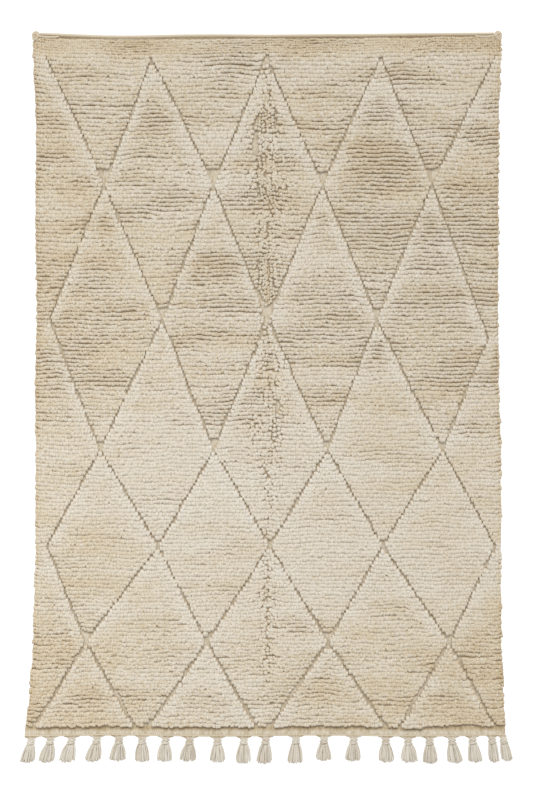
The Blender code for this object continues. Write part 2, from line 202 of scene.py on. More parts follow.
# -------- the unevenness of handwork
# Soft noise: how strong, how large its humps are across and along the rug, and where it is read. A row's or
# column's own noise is read at its number times ROW_APART.
Drift = namedtuple("Drift", "strength across along seed")
NEIGHBOURS_WANDER = Drift(0.0080, 0.13, 0.16, 3.3)
ROW_WANDER = Drift(0.0030, 0.080, 1.0, 8.1)
ROW_QUIVER = Drift(0.0026, 0.024, 1.0, 5.9)
FURROW_WANDER = Drift(0.0050, 0.045, 0.045, 4.9)
PARTING_WANDER = Drift(0.010, 1.0, 0.12, 1.1)
COMB_WANDER = Drift(0.005, 1.0, 0.06, 3.7)
RAGGED_FOLD = Drift(1.2, 0.06, 0.09, 5.5)
TURN_DRIFT = Drift(0.18, 0.07, 0.05, 4.4)
FOLD_CURLS = Drift(3.4, 0.016, 0.024, 7.7)
COMB_CURLS = Drift(1.7, 0.030, 0.035, 7.7)
PILE_SWELL = Drift(0.10, 0.21, 0.11, 0.5)
GAPE_DASHES = Drift(0.40, 0.030, 1.0, 2.9)
GAPE_STREAKS = Drift(0.20, 0.16, 1.0, 1.7)
GAPE_CLOUDS = Drift(1.30, 0.34, 0.085, 6.1)
ROW_SHADE_DASHES = Drift(0.75, 0.026, 1.0, 2.9)
TONE_STREAKS = Drift(0.10, 0.22, 1.0, 9.2)
TONE_BANDS = Drift(0.22, 0.30, 0.09, 2.2)
TONE_CLOUDS = Drift(0.14, 0.8, 0.45, 3.8)
LAY_DRIFT = Drift(1.6, 0.3, 1.0, 4.2)
CORD_TONE_DRIFT = Drift(0.3, 0.2, 1.0, 6.6)

# How strongly the old fold down the rug's middle has stirred the pile, and over what half-width
Stir = namedtuple("Stir", "from_head strength half")
OLD_FOLD = table(
    Stir,
    (0.00, 0.20, 0.025),
    (0.20, 0.55, 0.025),
    (0.32, 1.00, 0.040),
    (0.43, 1.00, 0.085),
    (0.68, 1.05, 0.085),
    (0.78, 1.00, 0.045),
    (1.10, 1.05, 0.045),
    (1.30, 0.40, 0.030),
    (1.45, 0.68, 0.060),
    (1.55, 0.70, 0.085),
    (1.67, 0.66, 0.080),
    (1.80, 0.52, 0.050),
    (2.15, 0.35, 0.030),
    (2.32, 0.65, 0.035),
    (2.60, 0.55, 0.035),
    (2.80, 0.20, 0.030),
)

# A soft or worn patch: its middle, how wide and high it is, and how much paler and more gaping
Patch = namedtuple("Patch", "across from_head wide high paler gaping")
PATCHES = table(
    Patch,
    (-0.60, 0.35, 0.16, 0.12, 0.16, 0.00),
    (-0.46, 0.72, 0.24, 0.11, 0.20, -0.15),
    (0.14, 0.89, 0.12, 0.08, -0.14, 0.05),
    (0.40, 0.52, 0.26, 0.20, -0.02, 0.26),
    (0.66, 0.88, 0.28, 0.20, 0.02, 0.24),
    (-0.66, 1.13, 0.26, 0.15, 0.06, 0.22),
    (0.52, 1.34, 0.34, 0.15, 0.00, 0.20),
    (-0.90, 0.40, 0.12, 0.20, 0.00, 0.24),
    (-0.10, 0.36, 0.10, 0.12, 0.00, -0.20),
    (0.02, 1.75, 0.14, 0.22, 0.04, -0.30),
)

# Where a side of the rug gapes more: which side, from where outwards, its middle and reach, and how much
Flank = namedtuple("Flank", "side start over from_head reach gaping")
FLANKS = table(
    Flank,
    (1, 0.1, 0.4, 0.75, 0.36, 0.24),
    (-1, 0.5, 0.3, 1.05, 0.32, 0.22),
)

# How far the rows gape, how pale the wool is and how much painted shade darkens its roots and tips, by the
# distance from the head
GAPE = (
    *((0.03, 0.40), (0.09, 0.06), (0.20, 0.22), (0.45, 0.40), (0.90, 0.46), (1.15, 0.54)),
    *((1.35, 0.40), (1.60, 0.34), (1.78, -0.06), (2.30, -0.26), (2.55, 0.10), (2.90, 0.26)),
)
TONE = ((0.2, 0.58), (1.5, 0.61), (1.8, 0.70), (2.2, 0.70), (2.6, 0.64), (2.9, 0.56))
TONE_DIFFER = ((1.6, 0.06), (1.8, 0.035), (2.3, 0.035), (2.5, 0.06))
SIDES_DULLER = ((1.2, 0.05), (1.8, 0.13))
ROW_SHADE = (
    *((0.05, 1.5), (0.1, 0.9), (0.3, 1.1), (1.5, 1.05)),
    *((1.8, 0.42), (2.3, 0.42), (2.6, 1.10), (2.9, 1.30)),
)


# -------- the cords and their knots
CORD_STEPS = 10  # for each turn of the yarn laid round it
ROLL_HALF = 0.49  # the roll's and the yarn's half-thickness and the yarn's orbit, for the cord's diameter
YARN_HALF = 0.16
YARN_ORBIT = 0.36

KNOT_STEPS = 30
KNOT_CORD = 0.0050  # half as thick as the cord that the corner knots are wound of
KNOT_TAIL = 0.090  # how far its end runs on beside the head cord
Wind = namedtuple("Wind", "radius squash lift tilt spin below tone")
# The ball's own winds have a darker tone than the flatter loops over it: painted shade beneath the loops.
KNOT_WINDS = table(
    Wind,
    (0.0125, 1.00, 0.0000, 8, 0, 0.000, 0.00),
    (0.0060, 1.00, 0.0040, 5, 0, 0.002, 0.00),
    (0.0110, 0.60, 0.0070, 12, 40, 0.001, 0.30),
    (0.0145, 0.62, 0.0045, 10, 125, 0.006, 0.50),
)


# -------- the tassels
KNOT_BELOW = 0.015  # from the foot cord to a tassel's knot, where the stray sets in
UNDER_YARNS = 20  # an even layer closes the brush under its clumps
CLUMPED_YARNS = 42
CLUMPS = 6
YARN = 0.0020  # half as thick as a yarn of the brush
YARN_SHARES = np.array((0.0, 0.2, 0.4, 0.6, 0.8, 0.96, 1.0))  # where its rings lie along it
YARN_BY_RING = np.array((0.8, 1.05, 1.1, 1.1, 1.0, 0.8, 0.4))
BRUSH_ROOT = 0.0145  # half as wide as the brush at its root
BRUSH_TOP = 0.029
BELL = 0.72  # how much of the brush's spread comes early, as in a bell

LEGS = 10
LEG = 0.0029  # half as thick as a leg
LEG_RINGS = 8
LEG_KNOT = 0.0100  # half as wide as the legs together at the knot
LEG_SPAN = (0.004, 0.86)  # their width at the foot cord, and what share of the brush's is added to it

KNOT_TURN = 0.0038  # half as thick as a turn of a tassel's knot
KNOT_TURN_STEPS = 22
KnotTurn = namedtuple("KnotTurn", "below half askew")
KNOT_TURNS = table(
    KnotTurn,
    (0.0135, 0.0125, 0.22),
    (0.0190, 0.0148, -0.26),
    (0.0245, 0.0150, 0.20),
    (0.0290, 0.0122, -0.12),
)


# -------- the outline of the weaving
def smooth(share):
    """Eases a share from 0 to 1, and holds it there outside."""
    share = np.clip(share, 0.0, 1.0)
    return share * share * (3 - 2 * share)


def hump(at, middle, reach):
    """A soft hump, 1 at its middle."""
    return np.exp(-(((at - middle) / reach) ** 2))


def fading(distance, reach):
    """Fades from 1 at a distance of 0."""
    return np.exp(-distance / reach)


def graded(at, stops):
    """The value at these places, straight between the (place, value) stops."""
    places, values = zip(*stops)
    return np.interp(at, places, values)


def drift(x, y, kind):
    """Soft noise over the plan, from about -1 to 1 times its strength."""
    x, y = np.broadcast_arrays(x, y)
    pairs = zip(x.ravel() / kind.across, y.ravel() / kind.along)
    values = [noise.noise(Vector((a, b, kind.seed))) for a, b in pairs]
    return kind.strength * np.array(values).reshape(x.shape)


def from_side(x):
    """How far points of the true rectangle lie in from its nearer side."""
    return WIDTH / 2 - np.abs(x)


def side_at(from_head):
    """The left and right half-widths at these distances from the head."""
    starts, lefts, rights = np.array(SIDES).T
    upper = np.clip(np.searchsorted(starts, from_head, side="left") - 1, 0, len(SIDES) - 2)
    lower = upper + 1
    share = smooth((from_head - starts[upper]) / (starts[lower] - starts[upper]))
    return [halves[upper] + (halves[lower] - halves[upper]) * share for halves in (lefts, rights)]


def lie(x, y):
    """Where points of the true rectangle lie in the uneven rug."""
    from_head = LENGTH / 2 - y
    left, right = side_at(from_head)
    half = np.where(x > 0, right, left)
    shift = HEAD_LIFT * np.abs(x) / (WIDTH / 2)
    shift = shift - HEAD_SAG * hump(x, HEAD_SAG_AT, HEAD_SAG_WIDTH)
    shift = shift * fading(np.maximum(0.0, from_head - HEAD_SHIFT_FROM), HEAD_SHIFT_FADE)
    wave = FOOT_WAVE * np.sin(2 * math.pi * x / FOOT_WAVE_LENGTH)
    wave = wave * fading(np.maximum(0.0, LENGTH - from_head), FOOT_WAVE_FADE)
    return x * half / (WIDTH / 2), y + shift + wave


def lie_down(points):
    """The same for an array of points, whose heights stay."""
    laid = points.copy()
    laid[..., 0], laid[..., 1] = lie(points[..., 0], points[..., 1])
    return laid


# -------- the lattice of furrows
def crossings(row):
    """The points where this row of the lattice has its crossings, from left to right."""
    points = [np.array((x, LENGTH / 2 - row.from_head)) for x in row.across]
    points[-1][1] -= row.right_dip
    return points


def furrows_between(upper, lower):
    """The middle lines of the furrows between two rows of crossings, from their upper ends down."""
    return [
        (high, low)
        for high in crossings(upper)
        for low in crossings(lower)
        if abs(high[0] - low[0]) < HALF_LOZENGE
    ]


FURROWS = [pair for rows in zip(LATTICE, LATTICE[1:]) for pair in furrows_between(*rows)]

# A lozenge's tip: where its two furrows meet, how far apart they are for each metre, and the middle and the
# radius of the curve that the pile ends in
Tip = namedtuple("Tip", "foot slope centre radius")


def lozenge_tips():
    """Where the pile of a lozenge ends in a curve, above the crossing at its foot."""
    tips = []
    for upper, lower in zip(LATTICE, LATTICE[1:]):
        for foot in crossings(lower):
            highs = [high for high, low in furrows_between(upper, lower) if low[0] == foot[0]]
            if len(highs) == 2:
                slope = (highs[1][0] - highs[0][0]) / 2 / (highs[0][1] - foot[1])
                reach = (lower.tip_radius + FURROW / 2) * math.hypot(1, slope) / slope
                tips.append(Tip(foot, slope, foot[1] + reach, lower.tip_radius))
    return tips


TIPS = lozenge_tips()


def off_line(x, y, high, low):
    """How far points lie from the line through a furrow's middle, above it or, if negative, below it."""
    along = (low - high) / np.linalg.norm(low - high)
    return (y - high[1]) * abs(along[0]) - (x - high[0]) * along[1] * np.sign(along[0])


def is_bare(x, y, margin):
    """Whether points of the true rectangle lie off the pile, or nearer a furrow than this."""
    half = FURROW / 2 + margin
    bare = (x < SIDE_INSET - WIDTH / 2) | (x > WIDTH / 2 - SIDE_INSET)
    bare |= (y > FIELD_TOP) | (y < SKIRT_TOP)
    # The field's corners are cut off for the corner knots.
    bare |= np.abs(x) + y > WIDTH / 2 - CORNER_INSET + FIELD_TOP
    for high, low in FURROWS:
        off = np.abs(off_line(x, y, high, low))
        bare |= (off < half) & (y < high[1]) & (y >= low[1])
    first = furrows_between(*LATTICE[:2])
    for one, other in zip(first, first[1:]):
        apex = one[0]
        if other[0][0] == apex[0]:
            off = np.maximum(np.abs(off_line(x, y, *one)), np.abs(off_line(x, y, *other)))
            bare |= (off < half) & (y >= apex[1]) & (y < apex[1] + APEX_REACH)
    for tip in TIPS:
        between = np.abs(x - tip.foot[0]) < (y - tip.foot[1]) * tip.slope
        outside = np.hypot(x - tip.foot[0], y - tip.centre) > tip.radius - margin
        bare |= between & (y < tip.centre) & outside
    return bare


def furrow_reach(x, y):
    """How far points are from the nearest furrow below them, and from the nearest one above them."""
    below = np.full(np.shape(x), 1.0)
    above = np.full(np.shape(x), 1.0)
    for high, low in FURROWS:
        off = off_line(x, y, high, low)
        beside = (y < high[1] + FURROW) & (y > low[1] - FURROW)
        below = np.where(beside & (off > 0), np.minimum(below, off), below)
        above = np.where(beside & (off <= 0), np.minimum(above, -off), above)
    return below, above


# -------- meshes and pieces
def extrude(bm, faces, keep=False):
    """Extrudes faces as one region without moving it. Returns the new region's faces and points."""
    edges = {e for f in faces for e in f.edges}
    made = bmesh.ops.extrude_face_region(bm, geom=faces + list(edges), use_keep_orig=keep)["geom"]
    new_faces = [part for part in made if isinstance(part, bmesh.types.BMFace)]
    new_verts = [part for part in made if isinstance(part, bmesh.types.BMVert)]
    return new_faces, new_verts


Strand = namedtuple("Strand", "points ring corners sizes")


def strand_shape(sides, rings, radius=1.0, turn=0.0):
    """One plain closed strand, a circle drawn out ring by ring, to be bent in copies."""
    bm = bmesh.new()
    bmesh.ops.create_circle(bm, cap_ends=True, segments=sides, radius=radius)
    bmesh.ops.rotate(bm, verts=bm.verts, matrix=Matrix.Rotation(turn, 3, "Z"))
    end = bm.faces[:]
    for ring in range(1, rings):
        end, moved = extrude(bm, end, keep=ring == 1)
        bmesh.ops.translate(bm, verts=moved, vec=(0, 0, 1))
    bmesh.ops.recalc_face_normals(bm, faces=bm.faces)
    bm.verts.index_update()
    points = np.array([v.co for v in bm.verts])
    corners = np.array([v.index for f in bm.faces for v in f.verts])
    sizes = np.array([len(f.verts) for f in bm.faces])
    bm.free()
    return Strand(points[:, :2], np.rint(points[:, 2]).astype(int), corners, sizes)


def unit(vectors):
    return vectors / np.maximum(np.linalg.norm(vectors, axis=-1, keepdims=True), 1e-12)


def strands(name, shape, lines, wide, thick, tone, side=None):
    """Copies of one strand bent along many lines, as one mesh.

    lines is strands x rings x 3. wide and thick are half-sizes and tone a shade, for each strand or ring.
    side is each strand's own sideways direction, for a line that comes back to where it starts.
    """
    count, rings = lines.shape[:2]
    wide, thick = np.broadcast_to(wide, (count, rings)), np.broadcast_to(thick, (count, rings))
    tone = np.broadcast_to(tone, (count, rings))
    tangent = unit(np.gradient(lines, axis=1))
    if side is None:
        heading = lines[:, -1] - lines[:, 0]
        side = np.stack((-heading[:, 1], heading[:, 0], np.zeros(count)), axis=-1)
    side = unit(side)[:, None, :]
    over = np.cross(tangent, np.broadcast_to(side, tangent.shape))
    ring = shape.ring
    points = lines[:, ring]
    points = points + side * (wide[:, ring] * shape.points[:, 0])[..., None]
    points = points + over[:, ring] * (thick[:, ring] * shape.points[:, 1])[..., None]
    corners = (shape.corners + len(ring) * np.arange(count)[:, None]).ravel()
    mesh = joined_mesh(name, points.reshape(-1, 3), corners, np.tile(shape.sizes, count))
    paint(mesh, "tone", tone[:, ring].ravel())
    paint(mesh, "along", np.tile(ring / (rings - 1), count))
    return mesh


def joined_mesh(name, points, corners, sizes):
    mesh = bpy.data.meshes.new(name)
    mesh.vertices.add(len(points))
    mesh.vertices.foreach_set("co", points.astype(np.float32).ravel())
    mesh.loops.add(len(corners))
    mesh.loops.foreach_set("vertex_index", corners.astype(np.int32))
    mesh.polygons.add(len(sizes))
    starts = np.concatenate(([0], np.cumsum(sizes)[:-1]))
    mesh.polygons.foreach_set("loop_start", starts.astype(np.int32))
    mesh.polygons.foreach_set("use_smooth", np.ones(len(sizes), bool))
    mesh.update(calc_edges=True)
    return mesh


def paint(mesh, name, values):
    """Writes one number for each point of a mesh, for its material to read."""
    layer = mesh.attributes.new(name, "FLOAT", "POINT")
    layer.data.foreach_set("value", np.asarray(values, np.float32))


def piece(name, mesh, material, slot, nodes):
    """Turns a mesh into a finished piece of the rug that stands for some of the solids."""
    mesh.materials.clear()
    mesh.materials.append(material)
    made = bpy.data.objects.new(name, mesh)
    bpy.context.scene.collection.objects.link(made)
    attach(made, "root")
    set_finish(made, slot)
    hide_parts(*nodes)
    return made


# -------- materials
WHITE = (1.0, 1.0, 1.0)
BLACK = (0.0, 0.0, 0.0)


def put(tree, kind, inputs=None, **settings):
    """Adds a node, and sets or links its inputs."""
    made = tree.nodes.new(kind)
    for key, value in settings.items():
        setattr(made, key, value)
    for key, value in (inputs or {}).items():
        if isinstance(value, bpy.types.NodeSocket):
            tree.links.new(value, made.inputs[key])
        else:
            made.inputs[key].default_value = value
    return made


def tune(node, values):
    """Sets a node's plain inputs."""
    for key, value in values.items():
        node.inputs[key].default_value = value


def new_material(name, roughness, sheen):
    material = bpy.data.materials.new(name)
    material.use_nodes = True
    shader = material.node_tree.nodes["Principled BSDF"]
    tune(shader, {"Roughness": roughness, "Specular IOR Level": 0.2})
    tune(shader, {"Sheen Weight": sheen, "Sheen Roughness": 0.6})
    return material, material.node_tree, shader


def painted(tree, name):
    """The number that paint() wrote for each point of the mesh."""
    return put(tree, "ShaderNodeAttribute", attribute_name=name).outputs["Fac"]


def on_the_rug(tree):
    return put(tree, "ShaderNodeTexCoord").outputs["Object"]


def stretched_noise(tree, scale, detail, across, along, up=1.0):
    """Noise on the rug's own coordinates, stretched across, along or up."""
    turned = put(tree, "ShaderNodeMapping", {"Vector": on_the_rug(tree), "Scale": (across, along, up)})
    values = {"Vector": turned.outputs["Vector"], "Scale": scale, "Detail": detail}
    return put(tree, "ShaderNodeTexNoise", values).outputs["Fac"]


def ribs(tree, direction, scale, distortion, waver):
    """The fine ribs of the weave, side by side in this direction."""
    values = {"Vector": on_the_rug(tree), "Scale": scale, "Distortion": distortion}
    values.update({"Detail": 1, "Detail Scale": waver})
    return put(tree, "ShaderNodeTexWave", values, bands_direction=direction).outputs["Fac"]


def band(tree, low, high):
    """0 up to one distance along the rug, 1 from another, and straight between them."""
    up_the_rug = put(tree, "ShaderNodeSeparateXYZ", {"Vector": on_the_rug(tree)}).outputs["Y"]
    values = {"Value": up_the_rug, "From Min": low, "From Max": high}
    return put(tree, "ShaderNodeMapRange", values).outputs["Result"]


def ramp(tree, factor, stops):
    """A colour ramp with these (place, colour) stops."""
    made = put(tree, "ShaderNodeValToRGB", {"Fac": factor})
    elements = made.color_ramp.elements
    while len(elements) < len(stops):
        elements.new(0.5)
    for element, (place, colour) in zip(elements, stops):
        element.position = place
        element.color = (*colour, 1.0)
    return made.outputs["Color"]


def mix(tree, factor, first, second, blend="MIX"):
    made = put(tree, "ShaderNodeMix", data_type="RGBA", blend_type=blend)
    for key, value in (("Factor", factor), ("A", first), ("B", second)):
        socket = next(s for s in made.inputs if s.name == key and s.enabled)
        if isinstance(value, bpy.types.NodeSocket):
            tree.links.new(value, socket)
        else:
            socket.default_value = value if key == "Factor" else (*value, 1.0)
    return next(s for s in made.outputs if s.enabled)


def shaded(tree, shade, by, amount=1.0):
    """A colour multiplied by another, wholly or by this amount."""
    multiplied = mix(tree, 1.0, shade, by, "MULTIPLY")
    return multiplied if amount == 1.0 else mix(tree, amount, shade, multiplied)


def math_node(tree, operation, first, second):
    return put(tree, "ShaderNodeMath", {0: first, 1: second}, operation=operation).outputs[0]


def scaled(tree, value, factor):
    return math_node(tree, "MULTIPLY", value, factor)


def bump(tree, shader, height, strength, distance):
    made = put(tree, "ShaderNodeBump", {"Height": height, "Strength": strength, "Distance": distance})
    tree.links.new(made.outputs["Normal"], shader.inputs["Normal"])


# From the wool's dullest shade to its palest
PILE_SHADES = (
    (0.0, (0.63, 0.51, 0.34)),
    (0.35, (0.735, 0.645, 0.495)),
    (0.65, (0.79, 0.738, 0.64)),
    (1.0, (0.835, 0.80, 0.735)),
)
PILE_FIBRE = (0.60, 0.48, 0.31)
PILE_CURL_SHADE = ((0.36, (0.80, 0.72, 0.58)), (0.54, WHITE))
# Along a tuft, from its root to its tip: painted shade at both ends and under the last row's tips, and a
# painted warm glow
TUFT_SHADOW = ((0.0, (0.70, 0.55, 0.35)), (0.20, WHITE), (0.92, WHITE), (1.0, (0.42, 0.30, 0.16)))
TUFT_UNDER_SHADE = ((0.76, WHITE), (0.90, (0.36, 0.235, 0.105)))
TUFT_PAINTED_GLOW = ((0.0, (0.100, 0.068, 0.034)), (0.5, BLACK))


def pile_wool():
    """Soft spun wool in each tuft's own shade, with painted shade at root and tip and a painted warm glow.
    """
    material, tree, shader = new_material("pile_wool", 0.92, 0.12)
    along = painted(tree, "along")
    row_shade = painted(tree, "row_shade")
    shade = ramp(tree, painted(tree, "tone"), PILE_SHADES)
    fibre = stretched_noise(tree, 900, 2, 1.0, 0.28, 0.28)
    shade = mix(tree, scaled(tree, fibre, 0.22), shade, PILE_FIBRE)
    # Painted shade: a fine mottle stands for the shadows that its fine curls cast.
    curls = ramp(tree, stretched_noise(tree, 210, 2, 0.60, 1.15), PILE_CURL_SHADE)
    mottled = math_node(tree, "ADD", scaled(tree, row_shade, 0.6), 0.4)
    shade = shaded(tree, shade, curls, mottled)
    # Painted shade darkens each tuft's root and tip, more where the rows gape.
    shade = shaded(tree, shade, ramp(tree, along, TUFT_SHADOW), row_shade)
    # The last row's tips turn under, and painted shadow darkens them.
    shade = shaded(tree, shade, ramp(tree, along, TUFT_UNDER_SHADE), painted(tree, "hem_shade"))
    tree.links.new(shade, shader.inputs["Base Color"])
    # A painted warm glow at the roots stands for light come back out of the wool between the rows.
    tree.links.new(ramp(tree, along, TUFT_PAINTED_GLOW), shader.inputs["Emission Color"])
    tune(shader, {"Emission Strength": 1.0})
    bump(tree, shader, fibre, 0.5, 0.0012)
    return material


GROUND_SHADES = ((0.3, (0.71, 0.665, 0.575)), (0.7, (0.755, 0.725, 0.66)))
GROUND_WEAVE = (0.70, 0.61, 0.46)
GROUND_GRAIN = ((0.40, (0.80, 0.74, 0.63)), (0.62, WHITE))
GROUND_WRINKLE_SHADE = ((0.36, (0.84, 0.80, 0.73)), (0.56, (1.03, 1.03, 1.03)))
GROUND_PAINTED_GLOW = (0.038, 0.028, 0.014)
# Painted shadow, from below the last row of knots up under its overhang
OVERHANG_SHADOW = ((0.0, WHITE), (0.15, (0.97, 0.94, 0.88)), (0.45, (0.80, 0.70, 0.54)), (0.95, WHITE))
HEAD_CORD_SHADOW = ((0.0, WHITE), (1.0, (0.48, 0.41, 0.30)))


def ground_wool():
    """The flat weave: fine ribs along the rug, crossed by the beaten-down weft."""
    material, tree, shader = new_material("ground_wool", 0.95, 0.08)
    shade = ramp(tree, stretched_noise(tree, 9, 3, 1.0, 1.6), GROUND_SHADES)
    warp = scaled(tree, ribs(tree, "X", 78, 1.2, 3), 0.7)
    weft = scaled(tree, ribs(tree, "Y", 120, 2.0, 2), 0.5)
    weave = math_node(tree, "ADD", warp, weft)
    shade = mix(tree, scaled(tree, weave, 0.25), shade, GROUND_WEAVE)
    shade = shaded(tree, shade, ramp(tree, stretched_noise(tree, 300, 3, 1.0, 0.25), GROUND_GRAIN))
    # Soft streaks along the rug, darker and a little lighter: painted shade of its wrinkles.
    shade = shaded(tree, shade, ramp(tree, stretched_noise(tree, 62, 3, 1.0, 0.30), GROUND_WRINKLE_SHADE))
    # Painted shadow darkens the wool under the last row's overhang, and in a line below the head cord.
    overhang_band = band(tree, SKIRT_TOP - 0.022, SKIRT_TOP + 0.018)
    shade = shaded(tree, shade, ramp(tree, overhang_band, OVERHANG_SHADOW))
    head_cord_band = band(tree, FIELD_TOP - 0.010, FIELD_TOP - 0.002)
    shade = shaded(tree, shade, ramp(tree, head_cord_band, HEAD_CORD_SHADOW))
    tree.links.new(shade, shader.inputs["Base Color"])
    # A faint painted warm glow stands for light come back out of the wool.
    tune(shader, {"Emission Color": (*GROUND_PAINTED_GLOW, 1.0), "Emission Strength": 1.0})
    bump(tree, shader, weave, 0.6, 0.0012)
    return material


def spun_wool(name, pale, warm):
    """Spun yarn of the cords and the tassels."""
    material, tree, shader = new_material(name, 0.9, 0.1)
    shade = ramp(tree, painted(tree, "tone"), ((0.0, warm), (1.0, pale)))
    fibre = stretched_noise(tree, 1100, 2, 1.0, 0.5)
    shade = mix(tree, scaled(tree, fibre, 0.25), shade, warm)
    tree.links.new(shade, shader.inputs["Base Color"])
    bump(tree, shader, fibre, 0.4, 0.0010)
    return material


# -------- the pile
Tufts = namedtuple("Tufts", "x y number from_head combed")


def fineness(from_head):
    """1 for the fine rows below the head cord, 0 for the others."""
    return 1 - smooth((from_head - FINE_UNTIL) / FINE_FADE)


def row_starts():
    """Every row of knots, as its distance from the head."""
    rows = []
    from_head = LENGTH / 2 - FIELD_TOP + FIRST_ROW
    while from_head < LENGTH / 2 - SKIRT_TOP - LAST_ROW:
        rows.append(from_head)
        pitch = HEAD_PITCH + (FOOT_PITCH - HEAD_PITCH) * from_head / LENGTH
        from_head += pitch + (FINE_PITCH - pitch) * fineness(from_head)
    return rows


def row_wave(x, number, from_head):
    """How far a row of knots wanders up and down along its way."""
    row = number * ROW_APART
    own = drift(x, row, ROW_WANDER) + drift(x, row, ROW_QUIVER)
    lively = 1 + 0.7 * smooth((from_head - 2.3) / 0.4)  # more near the foot
    return drift(x, from_head, NEIGHBOURS_WANDER) + own * lively


def patchy(x, from_head, kind):
    """What the rug's soft and worn patches add here, of one kind."""
    added = np.zeros(np.shape(x))
    for patch in PATCHES:
        off = np.hypot((x - patch.across) / patch.wide, (from_head - patch.from_head) / patch.high)
        added += getattr(patch, kind) * hump(off, 0.0, 1.0)
    return added


def fold_at(x, from_head):
    """How much the old fold down the middle has stirred the pile, 0 to 1."""
    starts, strengths, halves = np.array(OLD_FOLD).T
    strength = np.interp(from_head, starts, strengths)
    half = np.interp(from_head, starts, halves)
    ragged = 1 + drift(x, from_head, RAGGED_FOLD)
    return np.clip(hump(x, 0.0, half) * strength * ragged, 0, 1)


def tuft_roots():
    """The root of every tuft: rows of knots that stop at the furrows, spaced out evenly between them."""
    found = []
    samples = np.arange(-WIDTH / 2, WIDTH / 2, RUN_STEP)
    coarse = np.linspace(-WIDTH / 2, WIDTH / 2, 400)
    for number, from_head in enumerate(row_starts()):
        wave = np.interp(samples, coarse, row_wave(coarse, number, from_head))
        level = LENGTH / 2 - from_head + wave
        uneven = drift(coarse, LENGTH / 2 - from_head, FURROW_WANDER)
        margin = graded(from_head, FURROW_MARGIN) + np.interp(samples, coarse, uneven)
        bare = is_bare(samples, level - OVERHANG, margin)
        edges = np.flatnonzero(np.diff(np.concatenate(([1], bare.astype(int), [1]))))
        for start, stop in zip(edges[::2], edges[1::2]):
            left, right = samples[start], samples[stop - 1]
            count = max(1, round((right - left) / KNOT_SPACING) + 1)
            x = np.linspace(left, right, count) + rng.uniform(-KNOT_STRAY, KNOT_STRAY, count)
            x[[0, -1]] += rng.uniform(-END_STRAY, END_STRAY, 2)
            y = np.interp(x, samples, level)
            found.append(np.stack((x, y, np.full(count, number), np.full(count, from_head)), axis=-1))
    rows = np.concatenate(found)
    rows = rows[fold_at(rows[:, 0], rows[:, 3]) < COMB_FROM]
    combed = combed_roots()
    is_combed = np.arange(len(rows) + len(combed)) >= len(rows)
    return Tufts(*np.concatenate((rows, combed)).T, is_combed)


def parting(y):
    """Where across the rug the pile parts along the old fold."""
    return drift(0.0, y, PARTING_WANDER)


def combed_roots():
    """The roots along the old fold, where the tufts stand in upright columns, combed to both sides."""
    found = []
    for column in range(COMB_COLUMNS):
        for side in (-1, 1):
            from_head = np.arange(HEAD_CORD, LENGTH - SKIRT, KNOT_SPACING)
            from_head += rng.uniform(-0.003, 0.003, len(from_head))
            y = LENGTH / 2 - from_head
            number = np.full(len(y), COMB_NUMBER + side * (column + 1))
            bend = drift(number * ROW_APART, y, COMB_WANDER)
            x = parting(y) + side * COMB_PITCH * (column - 0.10) + bend
            found.append(np.stack((x, y, number, from_head), axis=-1))
    places = np.concatenate(found)
    x, y, _, from_head = places.T
    return places[(fold_at(x, from_head) >= COMB_FROM) & ~is_bare(x, y - OVERHANG, 0.002)]


def own_noise(tufts, kind):
    """Noise that each row or column has for itself, along its own way."""
    return drift(np.where(tufts.combed, tufts.y, tufts.x), tufts.number * ROW_APART, kind)


def gape_at(tufts):
    """How far each tuft's row gapes from the next, 0 to 1: dashes and long streaks across the rug."""
    x, y, from_head = tufts.x, tufts.y, tufts.from_head
    below, above = furrow_reach(x, y)
    gape = graded(from_head, GAPE)
    for flank in FLANKS:
        outwards = smooth((flank.side * x - flank.start) / flank.over)
        gape += flank.gaping * outwards * hump(from_head, flank.from_head, flank.reach)
    gape += own_noise(tufts, GAPE_DASHES) + own_noise(tufts, GAPE_STREAKS)
    gape += drift(x, y, GAPE_CLOUDS) + rng.normal(0, 0.08, len(x))
    # A few single tufts stand open, and so do those above a furrow and along the sides.
    gape += 0.6 * (rng.uniform(0, 1, len(x)) < 0.015) + patchy(x, from_head, "gaping")
    gape += 0.30 * fading(below, 0.014) + 0.9 * fading(from_side(x), 0.012)
    gape -= 0.75 * hump(above, 0.0, 0.038)
    return np.clip(gape, 0, 1)


def tone_of(tufts):
    """Each tuft's shade, 0 to 1: the wool's streaks and patches, duller to the edges, plus painted light
    and shade.
    """
    x, y, from_head = tufts.x, tufts.y, tufts.from_head
    above = furrow_reach(x, y)[1]
    tone = graded(from_head, TONE)
    tone += drift(x, tufts.number * ROW_APART, TONE_STREAKS) + drift(x, y, TONE_BANDS)
    tone += drift(x, y, TONE_CLOUDS) + patchy(x, from_head, "paler")
    tone += rng.normal(0, 1, len(x)) * graded(from_head, TONE_DIFFER)
    # The pile is darker along the old fold, most of all about 1.4 m from the head.
    fold_darkening = 0.06 + 0.16 * hump(from_head, 1.42, 0.20)
    # Painted light: the tufts just below a furrow are paler, where the light falls on the first rows.
    tone += 0.16 * hump(above, 0.0, 0.045) - fold_darkening * fold_at(x, from_head)
    tone -= 0.22 * (1 - smooth((from_head - FINE_UNTIL) / 0.06))
    # Painted shade: the tufts at the very sides are darker, for the shaded gaps between them.
    tone -= 0.30 * fading(from_side(x), 0.010)
    tone -= graded(from_head, SIDES_DULLER) * smooth((np.abs(x) - 0.15) / 0.70)
    foot_right = smooth((x - 0.6) / 0.3) * smooth((from_head - 1.9) / 0.3)
    tone -= 0.05 * smooth((-x - 0.3) / 0.5) + 0.05 * foot_right
    return np.clip(tone, 0, 1)


